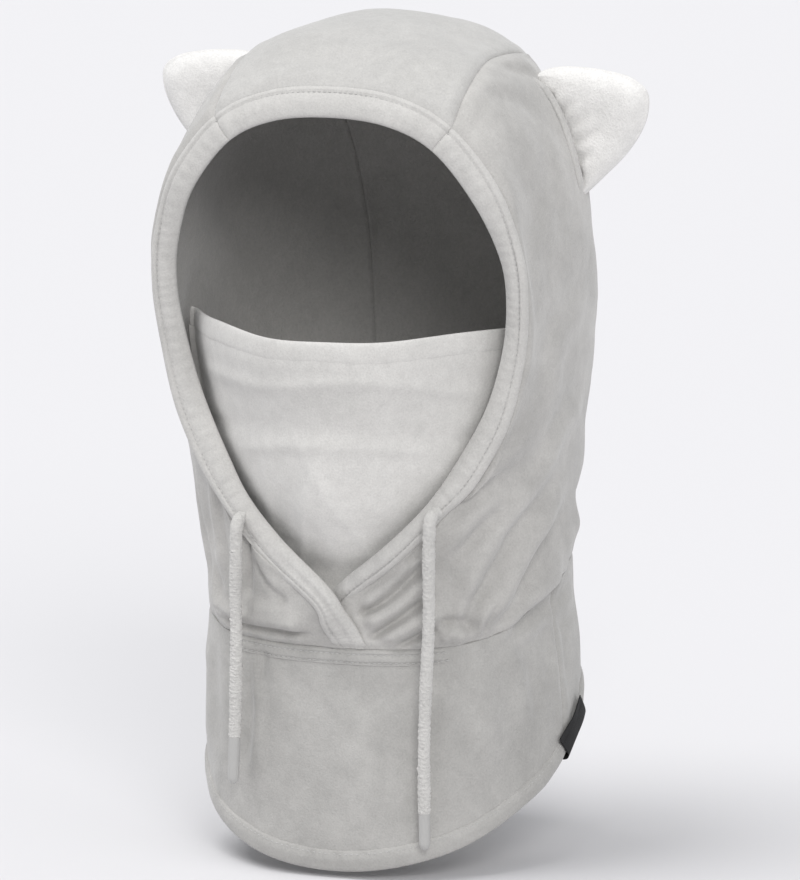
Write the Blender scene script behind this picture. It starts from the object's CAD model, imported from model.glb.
"""Over-helmet balaclava hood with a bib, a mask, two stuffed ears and drawcords, built round the
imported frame. It stands upright, its face towards -y and the wearer's left at +x. Shapes are
worked out in millimetres; materials, lights and camera are in metres."""
import math
import bpy
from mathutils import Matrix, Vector
import numpy as np


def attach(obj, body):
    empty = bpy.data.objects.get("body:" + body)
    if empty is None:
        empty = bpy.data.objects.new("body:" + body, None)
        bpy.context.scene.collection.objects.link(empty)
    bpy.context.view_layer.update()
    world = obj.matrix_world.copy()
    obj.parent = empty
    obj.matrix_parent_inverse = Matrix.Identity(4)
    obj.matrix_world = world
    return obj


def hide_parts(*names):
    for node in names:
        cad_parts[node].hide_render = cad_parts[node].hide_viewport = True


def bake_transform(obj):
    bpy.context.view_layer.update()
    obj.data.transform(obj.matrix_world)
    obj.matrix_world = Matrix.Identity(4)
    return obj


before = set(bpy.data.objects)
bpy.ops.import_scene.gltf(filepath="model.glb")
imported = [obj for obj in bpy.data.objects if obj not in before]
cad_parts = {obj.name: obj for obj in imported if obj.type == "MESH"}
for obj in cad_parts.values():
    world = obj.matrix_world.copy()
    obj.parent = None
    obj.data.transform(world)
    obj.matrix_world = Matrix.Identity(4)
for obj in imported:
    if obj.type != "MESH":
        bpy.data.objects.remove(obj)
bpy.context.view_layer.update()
rng = np.random.default_rng(41)
DETAIL = 1.0
SIDES = ((1, "left"), (-1, "right"))  # side is the sign of x


# ======================================================================= helpers
def count(full):
    """Grid count at the present level of detail."""
    return max(8, int(full * DETAIL))


def ease(x):
    """Smooth step from 0 to 1."""
    x = np.clip(x, 0, 1)
    return x * x * (3 - 2 * x)


def bell(x):
    return np.exp(-x**2)


def xyz(*parts):
    return np.stack(np.broadcast_arrays(*[np.asarray(part, float) for part in parts]), -1)


def split(points):
    """The columns of an array, as separate arrays."""
    return np.moveaxis(points, -1, 0)


def unit(vectors):
    return vectors / np.maximum(1e-9, np.linalg.norm(vectors, axis=-1, keepdims=True))


def to_side(points, side):
    return points * np.array([side, 1, 1])


def level_normal(tangent):
    """The tangent turned a quarter round z."""
    return xyz(tangent[..., 1], -tangent[..., 0], 0)


def circle(steps):
    return np.arange(steps) / steps * 2 * math.pi


def signed_power(x, power):
    return np.sign(x) * np.abs(x)**power


class Table:
    """Smooth curve through rows of a position and one or more values."""
    def __init__(self, rows):
        rows = np.array(rows, float)
        self.at, self.values = rows[:, 0], rows[:, 1:]
        place = np.arange(len(rows))
        before, after = np.maximum(place - 1, 0), np.minimum(place + 1, len(rows) - 1)
        run = self.at[after] - self.at[before]
        self.slopes = (self.values[after] - self.values[before]) / run[:, None]

    def __call__(self, x):
        x = np.asarray(x, float)
        i = np.clip(np.searchsorted(self.at, x, "right") - 1, 0, len(self.at) - 2)
        span = (self.at[i + 1] - self.at[i])[..., None]
        part = (x - self.at[i])[..., None] / span
        y = (self.values[i] * (2 * part**3 - 3 * part**2 + 1)
             + self.slopes[i] * span * (part**3 - 2 * part**2 + part)
             + self.values[i + 1] * (3 * part**2 - 2 * part**3)
             + self.slopes[i + 1] * span * (part**3 - part**2))
        return y[..., 0] if self.values.shape[1] == 1 else y


def curve(points, steps):
    last = len(points) - 1
    return Table(np.column_stack([np.arange(last + 1), points]))(np.linspace(0, last, steps))


# ======================================================================= body
DOME_BASE, DOME_RISE = 330.0, 144.0
DOME_POWER, BACK_POWER = 2.45, 2.35
# height: half width, y of the front, y of the back, y of the widest place, front roundness
BODY = Table([
    [-30, 104, -64, 139, 40, 2.3], [0, 104, -64, 139, 40, 2.3], [45, 104, -64, 140, 40, 2.3],
    [85, 103.5, -63.5, 140, 40, 2.3], [110, 101.5, -62.5, 137, 38, 2.4],
    [140, 98.5, -62.5, 134, 36, 2.6], [165, 99, -63, 132, 35, 2.8], [190, 101, -64, 134, 33, 3],
    [215, 103.5, -66.5, 137, 31, 3.1], [250, 108, -73, 142, 28, 3.2],
    [290, 111.5, -85, 147, 25.5, 3.2], [330, 112, -92, 147.5, 25, 3.2],
    [370, 112, -92, 147.5, 25, 3.2]])


def on_body(points):
    """Points moved onto the body: level below the dome, towards its centre in the dome."""
    x, y, z = split(np.asarray(points, float))
    half_width, front, back, middle, front_power = split(BODY(np.minimum(z, DOME_BASE)))
    ahead = y < middle
    half_depth = np.where(ahead, middle - front, back - middle)
    power = np.where(ahead, front_power, BACK_POWER)
    reach = (np.abs(x / half_width)**power + np.abs((y - middle) / half_depth)**power)**(1 / power)
    reach = np.maximum(0.02, reach)
    rise = np.maximum(0, (z - DOME_BASE) / DOME_RISE)
    domed = (reach**DOME_POWER + rise**DOME_POWER)**(1 / DOME_POWER)
    reach = np.where(rise > 0, domed, reach)
    return xyz(x / reach, middle + (y - middle) / reach,
               np.where(rise > 0, DOME_BASE + (z - DOME_BASE) / reach, z))


def body_at(angle, z):
    """Point on the body at an angle in degrees, from the front towards +x."""
    turn = np.radians(angle)
    return on_body(xyz(100 * np.sin(turn), BODY(z)[..., 3] - 100 * np.cos(turn), z))


def neck_ring(angle, z):
    turn = np.radians(angle)
    return on_body(xyz(100 * np.sin(turn), 37 - 102 * np.cos(turn), z))


# distance behind the front of the neck: rise of the neck seam
NECK = Table([[-20, -3], [0, 0], [25, 5.2], [65, 17], [105, 31], [150, 40], [200, 43], [230, 43]])
NECK_FRONT_Y, NECK_FRONT_Z = -65, 126
NECK_LAP = 0.3  # the panels and the bib both end this far above the seam line


def neck_line(y):
    return NECK_FRONT_Z + NECK(y - NECK_FRONT_Y)


def neck_at(angle):
    return neck_line(neck_ring(angle, 130)[..., 1])


# angle from the front: height of the hem
HEM = Table([[-35, 10.9], [0, 0], [35, 10.9], [71, 41], [109, 79], [140, 90], [180, 92],
             [220, 90]])


def hem_line(angle):
    angle = np.abs(angle)
    return HEM(np.where(angle > 180, 360 - angle, angle))


# ======================================================================= lines of the face band
BAND_THICK = 6.0
# station, from 0 at the top centre down the left side and under the neck seam: x, y, z
INNER = Table([
    [-1, -34, -70.3, 426], [0, 0, -70.5, 430], [1, 34, -70.3, 426], [2, 61.5, -69.6, 412.5],
    [3, 84.5, -66, 383], [4, 95.5, -57, 351], [5, 97.3, -52, 324], [6, 93.5, -48, 297],
    [7, 83.8, -48, 265], [8, 67.5, -54, 233], [9, 53, -60.5, 211], [10, 31, -65.5, 188],
    [11, 0, -67, 162], [12, -11, -67, 145], [13, -18.6, -66, 128.4], [14, -25, -65, 112]])
OUTER = Table([
    [-1, -38, -63.5, 442], [0, 0, -62.5, 446], [1, 38, -63.5, 442], [2, 70, -64, 426.5],
    [3, 97, -63, 393], [4, 108.5, -60, 356], [5, 110.3, -57, 325], [6, 107, -53, 294],
    [7, 97.3, -54, 256], [8, 80, -59, 222], [9, 64, -65, 198.5], [10, 41, -69, 174],
    [11, 11, -70, 151], [12, 5.5, -69, 139], [13, .5, -67, 128.4], [14, -4, -66, 112]])


def dip(station, side):
    """The end that crosses in front stands off the one behind, and both lie flat where they
    are sewn into the neck seam."""
    if side > 0:
        return 9.5 * ease((station - 9.8) / 2.0)
    return -4 * ease((station - 9.6) / 1.8) + 5.6 * ease((station - 11.3) / 1.7)


def inner_edge(station, side):
    edge = INNER(station)
    edge[..., 1] += dip(station, side)
    return edge


def outer_edge(station, side):
    edge = OUTER(station)
    drawn = .32 if side > 0 else .14  # drawn together by the cord
    drawn = drawn * ease((station - 7.8) / 1.2) * (1 - ease((station - 11.4) / 1.2))
    edge = edge + (INNER(station) - edge) * drawn[..., None]
    edge[..., 1] += dip(station, side)
    return edge


def band_frame(station, side):
    """Centre, direction across towards the outer edge, direction inward, half width."""
    inner, outer, step = inner_edge(station, side), outer_edge(station, side), 0.05
    along = unit(inner_edge(station + step, side) + outer_edge(station + step, side)
                 - inner_edge(station - step, side) - outer_edge(station - step, side))
    width = outer - inner
    across = unit(width - along * (width * along).sum(-1, keepdims=True))
    inward = unit(np.cross(across, along))
    inward = np.where(inward[..., 1:2] < 0, -inward, inward)
    return (inner + outer) / 2, across, inward, (width * across).sum(-1) / 2


def panel_front(station, side):
    """Front edge of a hood panel, run in under the face band."""
    centre, across, inward, half_width = band_frame(station, side)
    turn = 90 * ease((station - 1.8) / 2.2) * (1 - ease((station - 9.2) / 1.8))
    cos, sin = np.cos(np.radians(turn)), np.sin(np.radians(turn))
    radius = BAND_THICK / 2
    margin = radius - 1.2
    edge = (centre + across * (half_width - radius + margin * cos + .9 * radius * sin)[..., None]
            + inward * (radius + margin * sin - .9 * radius * cos)[..., None])
    if side < 0:
        return edge + (inward * 2.3 - across * 2.4) * ease((station - 8.8) / 1.4)[..., None]
    flush = ease((station - 9.4) / 1.8)[..., None]
    return edge * (1 - flush) + on_body(edge) * flush


# ======================================================================= panel surfaces
# part of the way from the face band over the crown to the neck: y, z
MIDLINE = Table([[0, -62, 447], [.12, -40, 465], [.28, 22, 480], [.45, 92, 458], [.6, 135, 405],
                 [.75, 150, 335], [.88, 146, 250], [1, 137, 158], [1.1, 136, 120]])
# the same: half width of the centre panel
CENTER_HALF = Table([[0, 70], [.28, 82], [.5, 74], [.75, 58], [1, 46]])
SIDE_TOP = 0.4   # part of the seam that lies along the top of the side panel
BAND_TOP = 2     # band station where the centre panel meets the side panels
BAND_FOOT = 13   # band station at the neck seam
NECK_CORNER = 154.84  # degrees round the neck to the seam of the centre panel


def crown(across, along):
    y, z = split(MIDLINE(along))
    x, y, z = split(on_body(xyz(across * CENTER_HALF(along), y, z)))
    low = ease((along - 0.9) / 0.1)
    return on_body(xyz(x, y, z * (1 - low) + (neck_line(y) + NECK_LAP) * low))


def center_point(across, along):
    """Centre panel, across from 0 at the middle to 1 at the left seam."""
    edge = panel_front(across * BAND_TOP, 1)
    flush = on_body(edge)
    near = (1 - ease(along / 0.25))[..., None]
    shift = (flush - crown(across, np.zeros_like(along))) * near
    return on_body(crown(across, along) + shift) + (edge - flush) * near


def seam_point(along):
    return center_point(np.ones_like(along), along)


def side_point(back, down, side):
    """Side panel, a patch filled in between its four edges."""
    front = panel_front(BAND_TOP + (BAND_FOOT - BAND_TOP) * down, side)
    rear = seam_point(SIDE_TOP + (1 - SIDE_TOP) * down)
    top = seam_point(SIDE_TOP * back)
    front_top = panel_front(np.array(float(BAND_TOP)), side)
    front_foot = panel_front(np.array(float(BAND_FOOT)), side)
    rear_foot, rear_top = seam_point(np.array(1.0)), seam_point(np.array(SIDE_TOP))
    start = math.degrees(math.asin(float(front_foot[0]) / 101))
    x, y, _ = split(neck_ring(start + back * (NECK_CORNER - start), 140))
    foot = on_body(xyz(x, y, neck_line(y) + NECK_LAP))
    far, low = back[..., None], down[..., None]
    patch = (front * (1 - far) + rear * far + top * (1 - low) + foot * low
             - front_top * (1 - far) * (1 - low) - rear_top * far * (1 - low)
             - front_foot * (1 - far) * low - rear_foot * far * low)
    near_front = (1 - ease(back / 0.3))[..., None]
    near_top = (1 - ease(down / 0.25))[..., None] * (1 - near_front)
    return (on_body(patch) + (front - on_body(front)) * near_front
            + (top - on_body(top)) * near_top)


def bib_point(angle, down):
    """Bib, down from 0 at the neck seam to 1 above the rolled hem."""
    top = neck_at(angle) + NECK_LAP
    return body_at(angle, top + (hem_line(angle) + 11.0 - top) * down)


# height: half width, y at the sides, y at the middle
MASK = Table([[0, 48, -49.5, -22], [134, 48, -49.5, -22], [150, 54, -49.5, -23],
              [168, 60, -50.5, -24], [180, 64, -58, -26], [195, 69, -69, -28],
              [212, 76, -81, -29], [232, 84, -88, -28], [262, 92.5, -92, -25],
              [290, 97, -98, -24.5], [302, 98, -98, -24], [330, 98, -98, -24]])
MASK = Table([[row[0], *row[1:]] for row in np.column_stack([MASK.at, MASK.values])])
# height: power of the curve across
MASK_POWER = Table([[134, 2.2], [168, 1.9], [185, 1.5], [212, 1.42], [232, 1.5], [262, 1.8],
                    [302, 2.1], [330, 2.1]])


def mask_point(across, z):
    """Mask, across from -1 to 1 between its side edges; past them it runs out to the lining,
    where it is sewn in, less so at the top, which moves down."""
    inside = np.clip(across, -1, 1)
    half_width, middle, edge = split(MASK(z))
    bow = (np.abs(inside)**2 + 0.0025)**(MASK_POWER(z) / 2)
    over = np.maximum(0, np.abs(across) - 1) * 100 * (1 - .44 * ease((z - 258) / 25))
    return (xyz(inside * half_width, middle + (edge - middle) * bow, z)
            + xyz(np.sign(across) * over * .94, over * .3 + over * over * .012, over * .16))


# ======================================================================= relief of the cloth
# Folds are lines on the garment, a ridge with a valley beside it. Columns: half width, height,
# side of the valley, depth of the valley, part of the length over which each end tapers, points.
FOLDS = [
    # big soft folds that run up and back from the throat
    (8.5, 6.2, 1, 1, .3, (73.5, -41, 137.3), (86.7, -27.9, 158.6), (99.1, -4.2, 190.6),
     (103.1, 47.6, 216.3)),
    (7.5, 5, 1, 1, .3, (65.6, -49, 153), (78.6, -42.2, 175.4), (93.3, -30.2, 206.1),
     (106.6, 16.5, 238.9)),
    (7, 4.4, 1, 1, .3, (81.9, -31.1, 131.4), (94.2, -7.1, 150.8), (96, 60, 160)),
    (8, 3.2, 1, .9, .3, (62.2, -59.3, 214.8), (83, -51.3, 231.7), (106.2, -16.5, 255.7)),
    (5.5, 2.2, 1, .8, .3, (91.1, -15.1, 129.1), (98.3, 20.7, 137.4), (93, 72, 143)),
    (5.5, 3.8, 1, 1, .3, (60.7, -55, 179.9), (76.5, -49.5, 202.7), (90.5, -39, 218.8)),
    (4.5, 3, 1, .9, .3, (66.6, -46.6, 139), (70.4, -45.8, 156.2), (79.3, -40.8, 172.9)),
    # pleats between the crossing and the left cord, then the valleys between them
    (5.4, 4.4, 1, 0, .2, (14, -62.3, 150), (35, -61.4, 166), (58, -57.1, 193)),
    (4.9, 5.2, 1, 0, .2, (17, -62.2, 140.5), (36, -59.8, 151), (59, -55.8, 171.5)),
    (4.5, 4.6, 1, 0, .2, (27, -60.5, 131.5), (45, -57.4, 141.5), (61, -54, 151.5)),
    (3.4, 2.2, 1, 0, .3, (44, -57.5, 130), (57, -54, 134.6)),
    (2.9, -5, 1, 0, .16, (12, -62.3, 145), (32, -61.2, 157), (56, -56.8, 181)),
    (2.8, -5, 1, 0, .16, (18, -61.4, 132), (38, -59.1, 145.5), (57, -55, 160.5)),
    (2.5, -4, 1, 0, .2, (35, -58.6, 128.8), (50, -55, 136.8), (59, -52, 142)),
    (3.6, -5.2, 1, 0, .3, (44, -60.5, 178), (50, -60.5, 187), (55, -60, 195)),
    (3, -1.6, 1, 0, .1, (51.2, -60.1, 185), (50.2, -58.8, 170), (49, -57.2, 150),
     (48.4, -55.6, 133.7)),
    # the pinch at the seam beside the cord
    (2.4, 2.6, 1, .9, .25, (76.6, -37.9, 132), (77.7, -37.7, 146.1), (81, -35.5, 158)),
    (3.8, 3.2, 1, 0, .25, (58, -51.2, 132.5), (65.1, -47.5, 136.6), (72.6, -41.6, 132)),
    (3.2, -3.8, 1, 0, .25, (56, -53, 142.8), (68.2, -46.1, 144.6), (76.3, -38.6, 138)),
    # the wearer's right of the crossing
    (4.6, 3.2, 1, 0, .2, (-51.2, -59.3, 187.8), (-39.9, -60.7, 174.5), (-27.7, -61.3, 152.5)),
    (5.5, 3.2, 1, 0, .2, (-52, -56.6, 147.5), (-32.8, -60.5, 146.6), (-12.9, -62.3, 141.4)),
    (2.6, -3, 1, 0, .2, (-47, -60, 178), (-37, -61, 163), (-24, -61.5, 150)),
    (3.2, -3.8, 1, 0, .15, (-52, -59.7, 196), (-50.5, -58.4, 173.5), (-52, -55.6, 149.9)),
    (5, 2.6, -1, .9, .3, (-75.9, -54.1, 222.5), (-76.5, -46.6, 186.8), (-71.3, -44.7, 152.4)),
    (3.4, 1.8, -1, .9, .3, (-65.7, -58.7, 222), (-60.4, -57.2, 195.4), (-60.9, -54.2, 165)),
    (5, 2.6, -1, .9, .3, (-82.9, -37.4, 170.1), (-75.6, -39.8, 145.5), (-60.9, -50, 134)),
    (2.2, -1.6, -1, 0, .3, (-75.9, -39.1, 142.9), (-68.6, -45.4, 140.6), (-62.1, -49.6, 136.6)),
    (9, 3.4, -1, .8, .3, (-90, -38, 140), (-98, -28, 176), (-106, -12, 214), (-110, 8, 250)),
    (7, 2.2, -1, .8, .3, (-80, -44, 150), (-92, -40, 190), (-104, -34, 228)),
    (8, 2.8, -1, .8, .3, (-100, 20, 138), (-104, 40, 160), (-106, 66, 196)),
    # bib
    (5, 2.6, 1, 1, .3, (-49.4, -54.8, 122.5), (-47.5, -55.5, 81.3), (-50.9, -54.6, 43.5)),
    (4, -2.2, 1, 0, .3, (-45.1, -56.7, 126.6), (-45.3, -56.3, 114.1), (-49.7, -54.4, 96.2)),
    (8, 1.5, 1, .6, .3, (-43.2, -57.4, 118.8), (-33.2, -59.7, 100.3), (-30.4, -60.9, 72.1)),
    (11, 2.4, -1, .7, .3, (73.3, -40.2, 124.7), (80.2, -32.7, 85.9), (73.3, -40.2, 41)),
    (8, 2.4, -1, .7, .3, (97.8, 16.7, 141.8), (100.7, 27.7, 116.1), (101.9, 17.5, 89.3)),
    (14, 1.9, 1, .5, .3, (-2.2, -62.2, 114.4), (11.2, -63.2, 75.4), (7.2, -63.8, 29.4)),
    (6.5, 1.9, 1, .9, .3, (59.1, -50.4, 121.1), (61.9, -48.2, 76.1), (60.2, -50, 30.5)),
    (7, 2.2, -1, .7, .3, (85.8, -25.3, 128.6), (93.1, -12, 105.7), (96.7, -5.1, 70.2)),
    (11, 2.2, -1, .7, .3, (-86, -28, 128), (-94, -20, 92), (-92, -24, 44)),
    # hood above, with the lower back of the hood and bib last
    (13, 1.7, 1, .6, .3, (107.1, 13.9, 387.1), (109.2, -25.8, 347.8), (110, -19.3, 301.7)),
    (12, 2.1, 1, .7, .3, (109.6, 58.8, 318.1), (111.5, 1.9, 298.5), (107.3, -6.2, 254.1)),
    (6, 1.8, 1, .9, .3, (68.5, 5.1, 454.2), (74, 31.8, 449.8), (78.6, 61.2, 440.5)),
    (7, 1.6, 1, .8, .3, (71, -35.1, 442.7), (79.6, -9.3, 442.5), (88.5, 24.5, 432.8)),
    (9, 3, 1, .8, .3, (105.7, 62.3, 254.2), (107.3, 14.4, 245), (99.5, -13.9, 209.4)),
    (10, 1.4, 1, .7, .3, (95.6, 12.8, 420.6), (105.8, 17.5, 392.2), (111.2, 22.9, 357.7)),
    (8, 1.2, 1, .6, .3, (71.7, -61.7, 418.4), (89.5, -53.7, 401.4), (103.5, -43.1, 366.9)),
    (7, 1.2, 1, .6, .3, (97.3, -59, 352.1), (104.1, -44.7, 311), (100.4, -42.4, 270.9)),
    (6, 1.5, -1, .9, .3, (-74.8, -20, 448.9), (-80.8, 5, 446.5), (-88.7, 31.6, 437.7)),
    (9, 1.2, 1, .7, .3, (-26.3, -39.3, 461.3), (6.3, -34.3, 465.3), (52, -35.7, 457.2)),
    (5, 1, 1, .8, .3, (-48.1, -57.2, 440.5), (-20.5, -54.1, 448.8), (24.9, -54, 448.7)),
    (11, 2.4, -1, .8, .3, (-110.2, 36.1, 262.4), (-109, -3.8, 250), (-99.4, -27.4, 215.1)),
    (14, 1.6, -1, .7, .3, (-111.8, 20, 330.6), (-111.1, -16.4, 299.6), (-107.9, -23.5, 262.9)),
    (11, 2.8, 1, .8, .3, (60, 124, 180), (84, 104, 200), (104, 66, 236)),
    (8, 2.4, 1, .8, .3, (72, 112, 168), (92, 84, 176), (104, 50, 196)),
    (11, 2.8, -1, .8, .3, (-60, 124, 182), (-86, 102, 206), (-106, 62, 232)),
    (10, 2.2, 1, .8, .3, (-30, 134, 176), (0, 137, 190), (34, 133, 178)),
    (12, 1.8, 1, .7, .3, (-26, 140, 214), (6, 142, 224), (40, 136, 212)),
    (10, 1.6, 1, .7, .3, (20, 140, 150), (26, 142, 120), (22, 143, 100)),
    (10, 1.8, -1, .7, .3, (-50, 130, 150), (-56, 130, 122), (-52, 131, 98)),
]
FOLDS = [(*shape, curve(points, 14)) for *shape, points in
         [(*fold[:5], np.array(fold[5:], float)) for fold in FOLDS]]
WAVES = []  # wave vector, phase, amplitude
for length, height, number in ((110, .75, 5), (55, .38, 7), (24, .11, 8), (11, .04, 8)):
    for _ in range(number):
        wave = unit(rng.normal(size=3)) * 2 * math.pi / (length * rng.uniform(.8, 1.25))
        WAVES.append((wave, rng.uniform(0, 6.28), height / math.sqrt(number) * 1.4))


def waves(points):
    """Height of the overall unevenness."""
    total = np.zeros(points.shape[:-1])
    for wave, phase, amplitude in WAVES:
        total += amplitude * np.sin(points @ wave + phase)
    return total


def folds(points, normals):
    """Height of the folds."""
    total = np.zeros(points.shape[:-1])
    for width, height, valley_side, valley, taper, ridge in FOLDS:
        low, high = ridge.min(0) - 4 * width, ridge.max(0) + 4 * width
        near = ((points > low) & (points < high)).all(-1)
        if not near.any():
            continue
        point, normal = points[near], normals[near]
        best = np.full(len(point), 1e9)
        sign, along = np.zeros(len(point)), np.zeros(len(point))
        last = len(ridge) - 1
        for i in range(last):
            start, run = ridge[i], ridge[i + 1] - ridge[i]
            part = np.clip(((point - start) @ run) / (run @ run), 0, 1)
            off = point - start - part[:, None] * run
            off = off - normal * ((off * normal).sum(1) * .85)[:, None]
            away = np.linalg.norm(off, axis=1)
            hit = away < best
            best[hit], along[hit] = away[hit], ((i + part) / last)[hit]
            sign[hit] = np.sign((np.cross(run, normal) * off).sum(1))[hit]
        x = best / width * sign * valley_side
        spread = .75 + .5 * along
        profile = bell(x / spread) - valley * .62 * bell((x - 1.45 * spread) / (.8 * spread))
        total[near] += height * ease(along / taper) * ease((1 - along) / taper) * profile
    return total


# ======================================================================= meshes
def grid_normals(grid):
    return unit(np.cross(np.gradient(grid, axis=0), np.gradient(grid, axis=1)))


def outward_normals(grid):
    normals = grid_normals(grid)
    middle = xyz(0, 35, np.minimum(grid[..., 2], DOME_BASE))
    return -normals if (normals * (grid - middle)).sum(-1).mean() < 0 else normals


def edge_distance(grid, axis, end):
    """Distance over the grid from its start, or from its end, along an axis."""
    if end:
        return np.flip(edge_distance(np.flip(grid, axis), axis, 0), axis)
    run = np.cumsum(np.linalg.norm(np.diff(grid, axis=axis), axis=-1), axis)
    return np.concatenate([np.zeros_like(np.take(run, [0], axis)), run], axis)


def add_mesh(name, points, faces):
    mesh = bpy.data.meshes.new(name)
    points = np.asarray(points, np.float32).reshape(-1, 3) / 1000
    faces = np.asarray(faces, np.int32)
    corners = faces.shape[1]
    mesh.vertices.add(len(points))
    mesh.vertices.foreach_set("co", points.ravel())
    mesh.loops.add(faces.size)
    mesh.loops.foreach_set("vertex_index", faces.ravel())
    mesh.polygons.add(len(faces))
    mesh.polygons.foreach_set("loop_start", np.arange(0, faces.size, corners, dtype=np.int32))
    mesh.polygons.foreach_set("loop_total", np.full(len(faces), corners, np.int32))
    mesh.update(calc_edges=True)
    mesh.validate()
    mesh.polygons.foreach_set("use_smooth", np.full(len(mesh.polygons), True))
    ob = bpy.data.objects.new(name, mesh)
    bpy.context.scene.collection.objects.link(ob)
    return ob


def quads(rows, columns, close_rows=False, close_columns=False):
    """Faces of a grid of points."""
    i, j = np.meshgrid(np.arange(rows if close_rows else rows - 1),
                       np.arange(columns if close_columns else columns - 1), indexing="ij")
    here, below = i * columns, ((i + 1) % rows) * columns
    right = (j + 1) % columns
    return np.stack([(here + j).ravel(), (below + j).ravel(),
                     (below + right).ravel(), (here + right).ravel()], 1)


def sheet(name, outer, inner):
    """Closed cloth between two grids."""
    rows, columns = outer.shape[:2]
    total = rows * columns
    index = np.arange(total).reshape(rows, columns)

    def wall(edge):
        return np.stack([edge[1:], edge[:-1], edge[:-1] + total, edge[1:] + total], 1)

    face = quads(rows, columns)
    faces = np.concatenate([face, face[:, ::-1] + total,
                            wall(index[:, 0]), wall(index[:, -1])[:, ::-1],
                            wall(index[0])[:, ::-1], wall(index[-1])])
    corner = outer[0, 0]
    normal = np.cross(outer[1, 0] - corner, outer[0, 1] - corner)
    if (normal * (corner - inner[0, 0])).sum() < 0:
        faces = faces[:, ::-1]
    return add_mesh(name, np.concatenate([outer.reshape(-1, 3), inner.reshape(-1, 3)]), faces)


def pipe(name, loops, closed=False):
    """Skin over loops, of shape (stations, points of a loop, 3), capped unless closed."""
    rows, columns = loops.shape[:2]
    faces = quads(rows, columns, closed, True)
    points = loops.reshape(-1, 3)
    first, second, third, fourth = (points[faces[:, i]] for i in range(4))
    volume = (first * np.cross(second, third)).sum() + (first * np.cross(third, fourth)).sum()
    if volume < 0:
        faces = faces[:, ::-1]
    if closed:
        return add_mesh(name, points, faces)
    points = np.concatenate([points, loops[0].mean(0)[None], loops[-1].mean(0)[None]])
    here = np.arange(columns)
    after, base = (here + 1) % columns, (rows - 1) * columns
    caps = np.concatenate([
        np.stack([here, after, np.full(columns, rows * columns)], 1),
        np.stack([after + base, here + base, np.full(columns, rows * columns + 1)], 1)])
    if volume < 0:
        caps = caps[:, ::-1]
    return add_mesh(name, points, np.concatenate([faces[:, [0, 1, 2]], faces[:, [0, 2, 3]], caps]))


def put(ob, body, nodes, material):
    """Gives a piece its material and tells the frame what it rides on and replaces."""
    ob.data.materials.append(material)
    if body:
        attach(ob, body)
    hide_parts(*nodes)
    return ob


# ======================================================================= materials
def feed(node, inputs):
    """Sets a node's inputs; a socket is linked, anything else is a value."""
    for key, value in inputs.items():
        if isinstance(value, bpy.types.NodeSocket):
            node.id_data.links.new(value, node.inputs[key])
        else:
            node.inputs[key].default_value = value


def add_node(tree, kind, inputs, **settings):
    node = tree.nodes.new("ShaderNode" + kind)
    for key, value in settings.items():
        setattr(node, key, value)
    feed(node, inputs)
    return node


def map_range(tree, value, source, target):
    node = add_node(tree, "MapRange", {
        "Value": value, "From Min": source[0], "From Max": source[1],
        "To Min": target[0], "To Max": target[1]})
    return node.outputs["Result"]


def multiply(tree, first, second):
    return add_node(tree, "Math", {0: first, 1: second}, operation="MULTIPLY").outputs[0]


def scaled_color(tree, color, scale):
    node = add_node(tree, "VectorMath", {0: color, "Scale": scale}, operation="SCALE")
    return node.outputs["Vector"]


def new_material(name):
    material = bpy.data.materials.new(name)
    material.use_nodes = True
    tree = material.node_tree
    return material, tree, tree.nodes["Principled BSDF"]


WARMTH = .0036  # added to the red of a fleece and taken from its blue


def fleece(name, color, nap=1.0, patch=.05, sheen=.35, pile=900, fade=None):
    """Brushed pile: patches where the nap lies another way, short fibres as a fine bump, a soft
    sheen at the edges. Fade is a pair of heights in metres and the tones at them."""
    material, tree, surface = new_material(name)
    place = tree.nodes.new("ShaderNodeTexCoord").outputs["Object"]
    big, middle, fine = [add_node(tree, "TexNoise", {"Vector": place, **look}).outputs["Fac"]
                         for look in (
        {"Scale": 22, "Detail": 4, "Roughness": .55, "Distortion": .6},
        {"Scale": 160, "Detail": 3},
        {"Scale": pile, "Detail": 2, "Roughness": .7})]
    patches = map_range(tree, big, (.3, .7), (1 - patch, 1 + patch))
    mottle = map_range(tree, middle, (.3, .7), (.965, 1.035))
    fibres = map_range(tree, fine, (.25, .75), (.9, 1.08))
    tone = multiply(tree, multiply(tree, patches, mottle), fibres)
    if fade:  # the knit is stretched thinner and paler towards one end
        split_place = add_node(tree, "SeparateXYZ", {0: place})
        tone = multiply(tree, tone, map_range(tree, split_place.outputs["Z"], *fade))
    color = (color[0] + WARMTH, color[1], color[2] - WARMTH)
    fibre_bump = add_node(tree, "Bump", {
        "Strength": .55 * nap, "Distance": .0006, "Height": fine})
    mottle_bump = add_node(tree, "Bump", {
        "Strength": .35 * nap, "Distance": .0012, "Height": middle})
    feed(fibre_bump, {"Normal": mottle_bump.outputs["Normal"]})
    feed(surface, {"Base Color": scaled_color(tree, color, tone),
                   "Normal": fibre_bump.outputs["Normal"],
                   "Roughness": .96, "Specular IOR Level": .15,
                   "Sheen Weight": sheen, "Sheen Roughness": .45})
    return material


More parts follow.
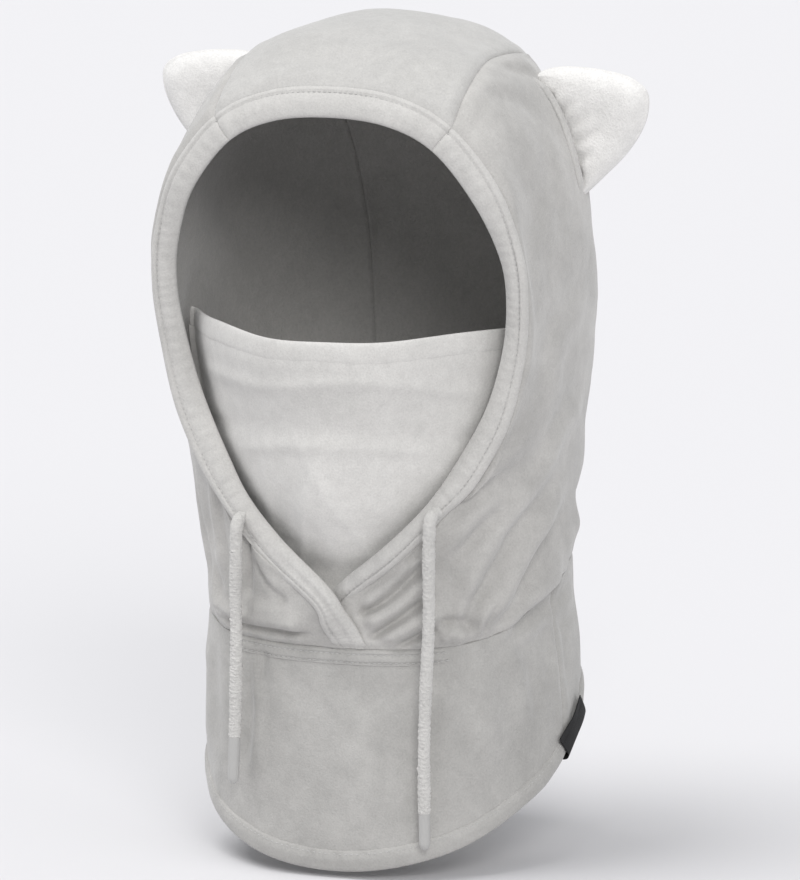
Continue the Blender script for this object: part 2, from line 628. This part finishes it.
def woven(name, color, diagonal, level, rough, bump, contrast, sheen=.15):
    """Crossed diagonal and level ribs; both counts are in radians per metre."""
    material, tree, surface = new_material(name)
    place = tree.nodes.new("ShaderNodeTexCoord").outputs["Object"]
    ribs = [add_node(tree, "TexWave",
                     {"Vector": place, "Scale": scale / 6.283, "Distortion": 1.0},
                     bands_direction=direction).outputs["Fac"]
            for direction, scale in (("DIAGONAL", diagonal), ("Z", level))]
    weave = multiply(tree, *ribs)
    tone = map_range(tree, weave, (0, 1), (1 - contrast, 1 + contrast))
    relief = add_node(tree, "Bump", {"Strength": bump, "Distance": .0004, "Height": weave})
    feed(surface, {"Base Color": scaled_color(tree, color, tone),
                   "Normal": relief.outputs["Normal"],
                   "Roughness": rough, "Sheen Weight": sheen})
    return material


HOOD_FLEECE = fleece("hood_fleece_mat", (.475, .470, .459))
SIDE_FLEECE = fleece("side_fleece_mat", (.445, .438, .426), patch=.11)
BAND_FLEECE = fleece("band_fleece_mat", (.51, .503, .49))
BIB_FLEECE = fleece("bib_fleece_mat", (.405, .400, .389), patch=.10)
MASK_FLEECE = fleece("mask_fleece_mat", (.60, .592, .576), nap=.7,
                     fade=((.165, .27), (1.17, .97)))
EAR_FLEECE = fleece("ear_fleece_mat", (.745, .737, .725), nap=1.3, patch=.03, sheen=.5)
LINING = fleece("lining_mat", (.40, .395, .385), nap=1.2, pile=600)
CORD = fleece("cord_mat", (.60, .592, .577), nap=2.0, patch=.08, pile=1700)
CORD_TIP = woven("cord_tip_mat", (.44, .435, .425), diagonal=5200, level=5200, rough=.65,
                 bump=.25, contrast=.05)
THREAD = woven("thread_mat", (.49, .485, .475), diagonal=5000, level=5000, rough=.7,
               bump=.3, contrast=.1)
TAPE = woven("tape_mat", (.45, .445, .435), diagonal=1800, level=1800, rough=.8,
             bump=.5, contrast=.1)
ELASTIC = woven("elastic_mat", (.8, .79, .77), diagonal=2400, level=900, rough=.8,
                bump=.5, contrast=.1)
LABEL = woven("label_mat", (.007, .007, .008), diagonal=4200, level=4200, rough=.75,
              bump=.5, contrast=.35, sheen=0)


# ======================================================================= sewn panels
def steady(normals):
    """At a corner the grid is too tight to give a direction: take it from further in."""
    normals = normals.copy()
    for axis in (0, 1):
        rows = np.moveaxis(normals, axis, 0)
        for k in range(8, 0, -1):
            for i, j in ((k - 1, k), (-k, -k - 1)):
                bad = (rows[i] * rows[j]).sum(-1) < .8
                rows[i][bad] = rows[j][bad]
    return normals


def cloth(name, base, edges, nodes, slot, material, relief, thick=1.5, lift=0.0):
    """A panel with folds and waves. Edges are its dipped seams, as (grid axis, 0 for the start
    or 1 for the end, depth)."""
    normals = steady(outward_normals(base))
    height = folds(base, normals) + waves(base)
    for axis, end, depth in edges:
        away = edge_distance(base, axis, end)
        height = height * (1 - .75 * bell(away / (7.5 if depth > 1 else 4.5)))
        height = height - depth * np.exp(-away / 1.5) + .6 * depth * bell((away - 6) / 4)
    height = height + relief(base)
    outer = base + normals * (height + lift)[..., None]
    turned = outward_normals(outer)
    for axis, end, _ in edges:  # an edge keeps the body's own direction, so corners stay square
        near = bell(edge_distance(base, axis, end) / 2.5)[..., None]
        turned = unit(turned * (1 - near) + normals * near)
    inner = outer - turned * thick
    grown = [[0, 0], [0, 0], [0, 0]]
    for axis, end, depth in edges:  # the seam allowance turns in at each deeply sewn edge
        if depth < .6:
            continue
        i, j = (-1, -2) if end else (0, 1)
        pad = [[0, 0] if other == axis else grown[other] for other in range(3)]
        out = unit(np.take(base, [i], axis) - np.take(base, [j], axis))
        out = np.pad(out, pad, mode="edge")
        up = np.pad(np.take(normals, [i], axis), pad, mode="edge")
        edge = np.take(outer, [i], axis)
        lip, under = edge + out * .7 - up * 1.1, edge - out * 1.4 - up * 1.7
        outer = np.concatenate([outer, lip] if end else [lip, outer], axis)
        inner = np.concatenate([inner, under] if end else [under, inner], axis)
        grown[axis][1 if end else 0] += 1
    put(sheet(name, outer, inner), "hood", nodes, material)


LINING_FIT = dict(thick=.9, lift=-2.2)


def neck_bulge(points):
    """The hood hangs a little over the neck seam and puckers along it."""
    x, y, z = split(points)
    above = z - neck_line(y)
    angle = np.degrees(np.arctan2(x, 35 - y))
    uneven = .55 + .45 * np.sin(np.radians(angle * 3.1 + 40)) * np.cos(np.radians(angle * 1.7))
    off_front = ss_front = ease((np.abs(angle) - 14) / 22)
    overhang = ease((angle + 46) / 10) * (1 - ease((angle + 13) / 7))
    ripple = np.sin(np.radians(angle * 31) + .6 * np.sin(np.radians(angle * 7)))
    return (2.9 * uneven * off_front * bell((above - 15) / 9) - 1.2 * bell(above / 3)
            + overhang * (1.0 * bell((above - 3) / 1.9) - 3.0 * bell((above - 7.4) / 1.7)
                          + 3.4 * bell((above - 13.5) / 4.2))
            + .32 * ripple * np.exp(-above / 8) * (above >= -1) * ss_front)


def bib_tuck(points):
    """The bib dips and puckers under the neck seam, and flares and puckers at the hem."""
    x, y, z = split(points)
    below = neck_line(y) - z
    angle = np.degrees(np.arctan2(x, 40 - y))
    above = z - hem_line(angle)
    neck_ripple = np.sin(np.radians(angle * 29) + 1.1 * np.sin(np.radians(angle * 5)))
    hem_ripple = np.sin(np.radians(angle * 37) + 1.3 * np.sin(np.radians(angle * 6)))
    flare = np.sin(np.radians(angle * 4.3) + .9) * ease(1 - above / 75)
    return (-.8 * bell(below / 2.5) + .22 * neck_ripple * np.exp(-below / 7)
            + 1.1 * flare * (1 - .5 * ease((np.abs(angle) - 120) / 40))
            + .25 * hem_ripple * np.exp(-(above - 12) / 6) * (above > 11))


# ---- hood
def center_grid(rows, columns):
    along, across = np.meshgrid(np.linspace(0, 1, count(rows)),
                                np.linspace(-1, 1, count(columns)), indexing="ij")
    points = center_point(np.abs(across), along)
    points[..., 0] *= np.where(across < 0, -1, 1)
    return points


def side_grid(side, rows, columns):
    back, down = np.meshgrid(np.linspace(0, 1, count(rows))**1.15,
                             np.linspace(0, 1, count(columns)), indexing="ij")
    return to_side(side_point(back, down, side), side)


cloth("hood_center", center_grid(240, 130), [(1, 0, 1.3), (1, 1, 1.3), (0, 0, .9)],
      ["hood_center_panel"], "hood_fleece", HOOD_FLEECE, neck_bulge)
cloth("hood_center_lining", center_grid(110, 64), [(1, 0, .4), (1, 1, .4), (0, 0, .5)],
      ["hood_lining_center"], "lining", LINING, neck_bulge, **LINING_FIT)
for side, label in SIDES:
    cloth("hood_side_" + label, side_grid(side, 230, 230),
          [(0, 1, 1.3), (1, 0, 1.3), (0, 0, .9)],
          ["hood_side_panel_" + label], "hood_fleece", SIDE_FLEECE, neck_bulge)
    cloth("hood_lining_side_" + label, side_grid(side, 90, 100),
          [(0, 1, .4), (1, 0, .4), (0, 0, .5)],
          ["hood_lining_" + label], "lining", LINING, neck_bulge, **LINING_FIT)


# ---- bib
def bib_grid(start, end, rows, columns):
    return bib_point(*np.meshgrid(np.linspace(start, end, count(rows)),
                                  np.linspace(0, 1, count(columns)), indexing="ij"))


for label, start, end, rows in (("front", -85, 85, 260), ("back", 85, 275, 240)):
    cloth("bib_" + label + "_cloth", bib_grid(start, end, rows, 100),
          [(0, 0, 1.1), (0, 1, 1.1)], ["bib_" + label], "bib_fleece", BIB_FLEECE, bib_tuck)
    cloth("bib_" + label + "_lining", bib_grid(start, end, rows // 2, 44),
          [], ["bib_lining_" + label], "lining", LINING, bib_tuck, **LINING_FIT)


def on_bib(angle, z, out):
    """Point that stands off the uneven face of the bib."""
    point = body_at(angle, z)
    normal = level_normal(unit(body_at(angle + .4, z) - point))
    turn = np.radians(angle)
    facing = unit(xyz(np.sin(turn), -np.cos(turn) * 1.02, 0))
    relief = folds(point, facing) + waves(point) + bib_tuck(point)
    return point + normal * (relief + out)[..., None]


def oval(half_out, half_up, steps, power):
    """Section as (distance out, height) pairs."""
    turn = circle(steps)
    return np.stack([half_out * signed_power(np.cos(turn), power),
                     half_up * signed_power(np.sin(turn), power)], 1)


def bib_loops(angles, line, section):
    return np.stack([on_bib(angles, line + up, out) for out, up in section], 1)


def hem_roll():
    """Turned hem, a soft roll at the bottom of the bib."""
    angles = np.linspace(0, 360, count(520), endpoint=False)
    section = [(out - .75 + (.35 if -2 < up < 3 else 0), up + 5.9)
               for out, up in oval(2.35, 6.2, 28, .72)]
    put(pipe("hem_roll", bib_loops(angles, hem_line(angles), section), closed=True), "hood",
        ["hem_band"], BIB_FLEECE)


def neck_tape():
    angles = np.linspace(0, 360, count(300), endpoint=False)
    section = [(out - 4.0, up) for out, up in oval(.3, 4.3, 10, .5)]
    put(pipe("neck_tape", bib_loops(angles, neck_at(angles), section), closed=True), "hood",
        ["neck_seam_tape"], TAPE)


def neck_facing():
    """A turned strip under the front of the neck seam, with two stitched grooves."""
    angles = np.linspace(-38, 38, count(220))
    fade = .3 + .7 * ease((38 - np.abs(angles)) / 7)
    ripple = .16 * np.sin(np.radians(angles * 40) + 2 * np.sin(np.radians(angles * 13)))
    loops = []
    for out, up in oval(1.55, 4.3, 56, .5):
        groove = .75 * (bell((up - 1.9) / .55) + bell((up + 2.7) / .55)) * (out > .3)
        loops.append(on_bib(angles, neck_at(angles) - 4.4 + up,
                            -.55 + (out - groove) * fade + ripple * (out > .5)))
    put(pipe("neck_facing_band", np.stack(loops, 1)), "hood", ["neck_facing"],
        BIB_FLEECE)


hem_roll()
neck_tape()
neck_facing()


# ---- stitches
def stitches(name, path, ups, pitch, nodes, radius=.32):
    """Short threads along a path that dip into the cloth at their ends."""
    run = np.linalg.norm(np.diff(path, axis=0), axis=1)
    run = np.concatenate([[0], np.cumsum(run)])
    half = pitch * .68 / 2
    turn = circle(6)
    heights = (.12 - .5 * np.array([1.3, .25, 0, .25, 1.3]))[:, None]
    radii = radius * np.array([.7, .95, 1, .95, .7])[:, None]
    caps = [[0, 1, 2, 3], [0, 3, 4, 5], [27, 26, 25, 24], [29, 28, 27, 24]]
    stitch = np.concatenate([quads(5, 6, False, True), caps])
    points = []
    for middle in np.arange(pitch * .5, run[-1] - pitch * .5, pitch):
        places = np.linspace(middle - half, middle + half, 5)
        line = np.stack([np.interp(places, run, path[:, i]) for i in range(3)], 1)
        up = unit(np.stack([np.interp(places, run, ups[:, i]) for i in range(3)], 1))
        across = unit(np.cross(unit(np.gradient(line, axis=0)), up))
        points.append(((line + up * heights)[:, None]
                       + across[:, None] * (radii * np.cos(turn))[..., None]
                       + up[:, None] * (radii * np.sin(turn))[..., None]).reshape(-1, 3))
    faces = np.concatenate([stitch + 30 * i for i in range(len(points))])
    put(add_mesh(name, np.concatenate(points), faces), "hood", nodes, THREAD)


def bib_stitches(name, angles, line, out, pitch, nodes):
    path = on_bib(angles, line, out)
    ups = level_normal(unit(on_bib(angles + .3, line, out) - path))
    stitches(name, path, unit(ups), pitch, nodes)


angles = np.linspace(0, 360, 900)
bib_stitches("hem_stitches", angles, hem_line(angles) + 9.9, 1.2, 3.4, ["hem_topstitch"])
angles = np.linspace(-37, 37, 400)
for label, drop in (("upper", 2.5), ("lower", 7.1)):
    bib_stitches("neck_stitches_" + label, angles, neck_at(angles) - drop, .5, 3.2,
                 ["neck_topstitch_" + label])


# ---- face band
BAND_HALF = BAND_THICK / 2 + .35   # half thickness of the padded roll
BAND_STITCH = .52                  # place of the stitched line, as a part of the half width


def band_loops(stations, side):
    """Negative stations run down the other side from the top."""
    place = np.abs(stations)
    centre, across, inward, half_width = band_frame(place, side)
    width = outer_edge(place, side) - inner_edge(place, side)
    half_width, place = half_width[:, None], place[:, None]
    cos, sin = np.cos(circle(44)), np.sin(circle(44))
    flat = 1 - (.62 if side < 0 else .5) * ease((place - 11.6) / 1.4)
    turn = ease((place - 11.7) / 1.2)
    # the end runs along the seam, not square to the strip
    across = across * (1 - turn) + width / 2 / half_width * turn
    x = 1.04 * signed_power(cos, .74)
    front = ease(-sin * 1.6)
    # the cord shows as a soft rise, the stitched line as a groove near the outer edge
    gathered_to = 10.3 if side < 0 else 10.9
    gather = .6 * ease((place - 7.3) / 1.6) * (1 - ease((place - gathered_to) / .9))
    ripple = (np.sin(place * 7.7 + 1.1 * np.sin(place * 3.1)) * .6
              + .4 * np.sin(place * 17.3 + 1.7))
    small = .14 * np.sin(place * 31 + 1.5 * np.sin(place * 5))
    out = front * (.75 * bell((x + .12) / .42) - .95 * bell((x - BAND_STITCH) / .085)
                   + .25 * bell((x - .75) / .14)
                   + (gather * ripple + small) * bell((x + .1) / .75))
    if side < 0:  # the crossing end is soft and lies in lengthwise folds
        valley = bell((x + .06 - .1 * np.sin(place * 1.9)) / .15)
        out = out + (front * ease((place - 9.6) / 1.3) * (1 - .35 * turn)
                     * (bell((x + .55) / .24) - 1.35 * valley + .8 * bell((x - .4) / .22)))
    # the cloth is pinched in where the cord comes out
    hole = 9.3 if side > 0 else 9.62
    out = out - front * 2.0 * bell((place - hole) / .13) * bell((x - .8) / .3)
    out = out + front * .9 * bell((place - hole + .3) / .13) * bell((x - .2) / .5)
    seam = -np.exp(-np.abs(place - BAND_TOP) / .045)
    depth = (BAND_HALF * flat * signed_power(sin, .8)
             - np.where(sin < 0, 1, 0) * (out + seam * front))
    middle = BAND_THICK / 2 + 2.6 * ease((place - 12.86) / .22)
    loops = (centre[:, None] + across[:, None] * (half_width * x)[..., None]
             + inward[:, None] * (middle + depth)[..., None])
    loops = loops - (waves(loops) * .35)[..., None] * inward[:, None]
    loops[..., 0] *= np.where(stations < 0, -1, 1)[:, None]
    return to_side(loops, side)


def band_stitch_line(stations, side):
    """Points and outward normals of the stitched line."""
    place = np.abs(stations)
    centre, across, inward, half_width = band_frame(place, side)
    flat = 1 - .5 * ease((place - 11.6) / 1.5)
    path = (centre + across * (half_width * BAND_STITCH)[:, None]
            + inward * (BAND_THICK / 2 - BAND_HALF * flat * .93 + .55)[:, None])
    sign = np.where(stations < 0, -1, 1) * side
    return path * xyz(sign, 1, 1), -inward * xyz(sign, 1, 1)


for side, label in SIDES:
    loops = band_loops(np.linspace(BAND_TOP, 13.1, count(460)), side)
    put(pipe("face_band_roll_" + label, loops), "hood", ["face_band_" + label],
        BAND_FLEECE)
loops = band_loops(np.linspace(-BAND_TOP, BAND_TOP, count(200)), 1)
put(pipe("face_band_roll_top", loops), "hood", ["face_band_top", "drawcord_run"],
    BAND_FLEECE)

# from the right end, over the top, to the left end
paths, ups = zip(*[band_stitch_line(stations, side) for side, stations in (
    (-1, np.linspace(12.4, 2.0, 400)),
    (1, np.linspace(-1.98, 1.98, 160)),
    (1, np.linspace(2.0, 11.0, 360)))])
stitches("band_stitches", np.concatenate(paths), np.concatenate(ups), 3.1,
         ["face_band_topstitch"], radius=.24)


# ---- mask
def mask_relief(across, z):
    relief = (1.2 * (1 - .6 * np.abs(across)) * np.sin((z - 205) / 14 + 1.6 * np.cos(across * 2.6))
              * ease((z - 178) / 30) * ease((306 - z) / 40))
    relief = relief + (1.5 * bell((z - 282 + 9 * across * across - 3 * np.sin(across * 5)) / 4.5)
                       * ease((1 - np.abs(across)) / .35))
    relief = relief + (1.2 * bell((z - 246 + 16 * (across - .1)**2) / 4)
                       * ease((.85 - np.abs(across)) / .4))
    relief = relief - 1.0 * bell((z - 256 + 12 * across * across) / 6)
    # pull lines towards the throat: place across, lean, height
    for start, lean, height in ((-.28, .0042, 1.2), (.22, -.0040, 1.0), (-.62, .003, .9),
                                (.6, -.003, .9)):
        x = across - start - (z - 190) * lean * 1.6
        relief = relief + height * bell(x / .055) * ease((262 - z) / 50) * ease((z - 160) / 18)
    return relief


def mask_sheets():
    z, across = np.meshgrid(np.linspace(134, 298.5, count(170)),
                            np.linspace(-1.085, 1.085, count(210)), indexing="ij")
    base = mask_point(across, z)
    relief = mask_relief(np.clip(across, -1, 1), z) + waves(base) * .6
    face = base + outward_normals(base) * relief[..., None]
    normals = outward_normals(face)
    for name, outer, inner, nodes, slot, material in (
            ("mask_cloth", 0, 1.2, ["mask_panel"], "mask_fleece", MASK_FLEECE),
            ("mask_cloth_lining", 1.5, 2.3, ["mask_lining"], "lining", LINING)):
        ob = put(sheet(name, face - normals * outer, face - normals * inner), None, nodes,
                 material)
        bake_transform(ob)


def mask_hem(steps, half_thick, half_height, loop_steps):
    """Loops along the worn top edge, which dips in the middle and rises to the sides."""
    across = np.linspace(-1.06, 1.06, steps)
    path = mask_point(across, np.full_like(across, 301.5))
    path[:, 2] += -1.6 * np.cos(across * math.pi) + .5 * np.sin(across * 9 + 1)
    normal = unit(level_normal(unit(np.gradient(path, axis=0))))
    normal = np.where(normal[:, 1:2] > 0, -normal, normal)
    relief = mask_relief(np.clip(across, -1, 1), np.full_like(across, 298.0))
    path = path + normal * (relief + waves(path) * .6 - 1.1)[:, None]
    section = oval(half_thick, half_height, loop_steps, .8)
    return (path[:, None] + normal[:, None] * section[None, :, :1]
            + np.array([0, 0, 1.0]) * section[None, :, 1:])


mask_sheets()
put(pipe("mask_edge_hem", mask_hem(count(220), 1.75, 6.3, 24)), "mask_edge",
    ["mask_top_hem"], MASK_FLEECE)
put(pipe("mask_edge_elastic", mask_hem(count(90), .5, 3.6, 10)), "mask_edge",
    ["mask_elastic"], ELASTIC)


# ---- ears: two faces sewn round the outline, stuffed, sewn into the hood at their base
EAR_LOW, EAR_HIGH = np.array([108.5, 56, 370.0]), np.array([78.5, 52, 441.5])
EAR_MID = (EAR_LOW + EAR_HIGH) / 2
EAR_BASE = unit(EAR_HIGH - EAR_LOW)
EAR_OUT = unit(np.array([1.0, 0, 0]) - EAR_BASE * EAR_BASE[0])
# station round the outline, from the upper end of the base: along the base, out from it
EAR = Table([[0, 35.5, -2], [1, 38, 5], [2, 36.6, 16], [3, 31.5, 29], [4, 24.5, 42],
             [5, 16.5, 52.8], [6, 6, 58.6], [7, -5, 54.5], [8, -15, 45], [9, -23.5, 31.5],
             [10, -30, 16], [11, -35, 3], [12, -36.5, -3]])


def hood_over(along, y):
    """How far out the hood's surface lies from the base line."""
    points = EAR_MID + EAR_BASE * along[..., None] + xyz(0, y, 0)
    return ((on_body(points + EAR_OUT * 2) - points) * EAR_OUT).sum(-1)


def ear_face(name, facing, side):
    """Front (facing -1) or back (+1) of an ear. Station runs round the outline, part from the
    base line to the outline."""
    station, part = np.meshgrid(np.linspace(0, 12, count(150)),
                                np.linspace(0, 1, count(90)), indexing="ij")
    outline, tip_out = split(EAR(station))
    along = 34.5 - 69.5 * station / 12
    y = np.full_like(along, facing * 3.0)
    surface = hood_over(along, y)
    skin = waves(to_side(EAR_MID + EAR_BASE * along[..., None] + EAR_OUT * surface[..., None]
                         + xyz(0, y, 0), side))
    skin = np.clip(skin, -1, 1) - 1.7  # in the hood's cloth, short of the lining
    base_out = np.maximum(-2, surface) + skin
    tip_out = np.maximum(tip_out, hood_over(outline, y) + skin)
    part_out = part**.9
    along = along + (outline - along) * part_out
    out = base_out + (tip_out - base_out) * part_out
    # height over the base line and nearness to the outline set the fullness
    rim = np.clip(1 - part_out, 0, 1)
    middle = np.clip((station / 12) * (1 - station / 12) * 4, 0, 1)
    away = np.minimum(rim * 52, 46 * (1 - np.abs(along) / 42).clip(0, 1) + 6)
    full = 9.6 * (1 - np.exp(-(away / 8.5)**1.05)) * (.42 + .58 * middle**.6)
    full = full * (1 - .42 * bell((rim - 1) / .2))
    y = facing * (full + .35 * bell(away / 2.5))
    if facing < 0:  # the front of an ear is a little dished
        y = y + 2.2 * bell((along + 1) / 15) * bell((out - 24) / 17)
    pucker = .7 * np.sin(station * 4.1 + 1) * bell((part - .12) / .2)
    y = y + facing * (pucker - .7 * bell((rim * 50 - 2.2) / 1.2))
    points = EAR_MID + EAR_BASE * along[..., None] + EAR_OUT * out[..., None] + xyz(0, y, 0)
    points[..., 1] += waves(points * 1.4) * .5
    points = to_side(points, side)
    normals = grid_normals(points)
    if normals[..., 1].mean() * facing < 0:
        normals = -normals
    return sheet(name, points, points - normals)


def ear_welt(name, side):
    """A soft ridge of hood cloth in front of the ear."""
    along = np.linspace(-37, 36, count(110))
    taper = (ease((along + 37) / 9) * ease((36 - along) / 9))[:, None]
    path = EAR_MID + EAR_BASE * along[:, None] + xyz(0, -11.5 + 1.2 * np.sin(along / 9), 0)
    turn = circle(16)
    loops = (on_body(path + EAR_OUT * 2)[:, None]
             + xyz(0, 4.2 * np.cos(turn), 0)[None] * (.5 + .5 * taper[..., None]))
    rise = (1.9 * taper + .2) * np.sin(turn) - .2 + taper
    return pipe(name, to_side(on_body(loops) + EAR_OUT * rise[..., None], side))


def build_ear(side, label):
    for part, facing, nodes in (
            ("face", -1, ["ear_%s_front" % label, "ear_%s_filling" % label]),
            ("rear", 1, ["ear_%s_back" % label])):
        ob = put(ear_face("ear_%s_%s" % (part, label), facing, side), None, nodes,
                 EAR_FLEECE)
        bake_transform(ob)
    put(ear_welt("ear_welt_roll_" + label, side), "hood", ["ear_%s_welt" % label],
        HOOD_FLEECE)


for side, label in SIDES:
    build_ear(side, label)


# ---- drawcords
def sweep(name, path, radius, braid=.16, round_start=0, round_end=0, lumps=.125, seed=None):
    """A round cord with a braid relief, and tufts of pile when given a seed."""
    steps = 32
    run = np.concatenate([[0], np.cumsum(np.linalg.norm(np.diff(path, axis=0), axis=1))])
    along = unit(np.gradient(path, axis=0))
    across = unit(np.cross(along, np.array([1.0, 0, 0])))
    other = unit(np.cross(across, along))
    turn, twist = circle(steps), run[:, None] / 1.25 * .9
    weave = np.abs(np.sin(3 * turn + twist)) * np.abs(np.sin(3 * turn - twist))
    radii = radius + braid * (weave - .35) + lumps * np.sin(run / 11 + 1)[:, None]
    if seed is not None:
        tufts = np.random.default_rng(seed).normal(size=(len(path), steps))
        tufts = (tufts + np.roll(tufts, 1, 1) + np.roll(tufts, -1, 1)) / 3
        blur = np.array([1, 2, 3, 2, 1.0]) / 9
        tufts = np.stack([np.convolve(tufts[:, i], blur, "same") for i in range(steps)], 1)
        radii = radii + .55 * tufts
    for length, away in ((round_start, run), (round_end, run[-1] - run)):
        if length:
            bulge = 1 - (1 - np.clip(away / length, 0, 1))**2
            radii = radii * np.sqrt(np.clip(bulge, 0.0025, 1))[:, None]
    return pipe(name, path[:, None] + across[:, None] * (radii * np.cos(turn))[..., None]
                + other[:, None] * (radii * np.sin(turn))[..., None])


def build_cord(label, side, exit_point, direction, length, tip_length):
    """A cord rooted in the band that comes out at exit_point and hangs along direction."""
    exit_point, direction = np.array(exit_point, float), unit(np.array(direction, float))

    def below(distance):
        return tuple((exit_point + direction * distance) / 1000)

    def hanging(start, end, steps):
        away = np.linspace(start, end, steps)
        fall = away - 18
        sway = ease(fall / 60)
        return exit_point + direction * away[:, None] + xyz(
            .8 * np.sin(fall / 31 + side) * sway, .5 * np.sin(fall / 23) * sway, 0)

    hang, pull = "cord_%s_hang" % label, "cord_%s_pull" % label
    root = curve(exit_point + np.array([
        [.2 * side, 11.0, -1.0], [.1 * side, 7.0, -1.4], [0, 3.1, -2.6],
        direction * 6.5 + np.array([0, .5, 0]), direction * 13, direction * 20]), 90)
    ob = put(sweep("cord_root_" + label, root, 3.4, seed=5 + side), None,
             ["drawcord_neck_" + label], CORD)
    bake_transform(ob)
    path = hanging(18, length + 1.5, count(520))
    ob = put(sweep("cord_hang_" + label, path, 3.45, round_end=1.5, seed=9 + side), None,
             ["drawcord_end_" + label], CORD)
    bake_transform(ob)
    path = hanging(length - .5, length + tip_length, 90)
    put(sweep("cord_end_tip_" + label, path, 3.25, braid=.05, round_start=1.0, round_end=4.5,
              lumps=.025), pull, ["cord_tip_" + label], CORD_TIP)


build_cord("left", 1, exit_point=(60.5, -72, 209), direction=(-.0331, .0471, -.9984),
           length=172, tip_length=22)
build_cord("right", -1, exit_point=(-54.5, -72, 200), direction=(-.0348, .0575, -.9977),
           length=127, tip_length=28)


# ---- label: a folded strip over the hem, blank
LABEL_ANGLES, LABEL_HEIGHT = (84.9, 103.1), 16.5
# part of the strip's length: height over the hem line, distance out
LABEL_PATH = Table([[0, LABEL_HEIGHT, 2.75], [.45, 0, 3], [.5, -2.2, 1.6], [.56, -2.6, -1.2],
                    [.62, -1.2, -4.9], [1, LABEL_HEIGHT - 3, -4.9]])


def side_label():
    angle, part = np.meshgrid(np.linspace(*LABEL_ANGLES, 40), np.linspace(0, 1, 60),
                              indexing="ij")
    up, out = split(LABEL_PATH(part))
    angle = angle - .33 * np.maximum(0, up)  # square to the hem, which rises to the back
    points = on_bib(angle, hem_line(angle) + up, out)
    half = grid_normals(points) * .25
    put(sheet("side_label_strip", points + half, points - half), "hood", ["side_label"],
        LABEL)


side_label()


# ======================================================================= stage and camera
def build_floor():
    material, _, surface = new_material("floor_mat")
    feed(surface, {"Base Color": (.675, .668, .683, 1), "Roughness": .9})
    bpy.ops.mesh.primitive_plane_add(size=14, location=(0, 0, -.004))
    floor = bpy.context.object
    floor.name = "stage_floor"
    floor.data.materials.append(material)


def build_world():
    """The camera sees a backdrop colour; everything else is lit by a cooler one."""
    world = bpy.data.worlds.new("studio")
    bpy.context.scene.world = world
    world.use_nodes = True
    tree = world.node_tree
    light = tree.nodes["Background"]
    feed(light, {"Color": (.93, .945, .965, 1), "Strength": .65})
    backdrop = add_node(tree, "Background", {"Color": (.880, .872, .890, 1)})
    path = add_node(tree, "LightPath", {})
    mix = add_node(tree, "MixShader", {
        0: path.outputs["Is Camera Ray"], 1: light.outputs[0], 2: backdrop.outputs[0]})
    feed(tree.nodes["World Output"], {"Surface": mix.outputs[0]})


def aim(ob, direction):
    """Turns a light or camera to look back along a direction."""
    look = Vector([float(x) for x in -np.array(direction, float)])
    ob.rotation_euler = look.to_track_quat("-Z", "Y").to_euler()


def sun(name, source, power, angle, color=(1, 1, 1)):
    light = bpy.data.lights.new(name, "SUN")
    light.energy, light.angle, light.color = power, math.radians(angle), color
    ob = bpy.data.objects.new(name, light)
    bpy.context.scene.collection.objects.link(ob)
    aim(ob, source)


def build_camera():
    distance = 6.0
    azimuth, elevation = math.radians(20), math.radians(10)
    direction = np.array([math.sin(azimuth) * math.cos(elevation),
                          -math.cos(azimuth) * math.cos(elevation), math.sin(elevation)])
    right = np.array([math.cos(azimuth), math.sin(azimuth), 0])
    target = np.array([0, .030, .235]) + .0056 * right - .0047 * unit(np.cross(direction, right))
    camera = bpy.data.cameras.new("camera")
    camera.lens = 142.9 * distance / 1.8  # frames as 142.9 mm does from 1.8 m
    camera.sensor_width, camera.sensor_fit = 36, "HORIZONTAL"
    ob = bpy.data.objects.new("camera", camera)
    bpy.context.scene.collection.objects.link(ob)
    ob.location = [float(x) for x in target + direction * distance]
    aim(ob, direction)
    bpy.context.scene.camera = ob


build_floor()
build_world()
bpy.context.scene.view_settings.view_transform = "Standard"
sun("key_light", source=(.5, -.9, .6), power=1.15, angle=22, color=(1, .995, .985))
sun("top_light", source=(-.3, -.2, 1), power=1.75, angle=40)
sun("side_light", source=(.9, -.4, .2), power=.2, angle=40)
build_camera()
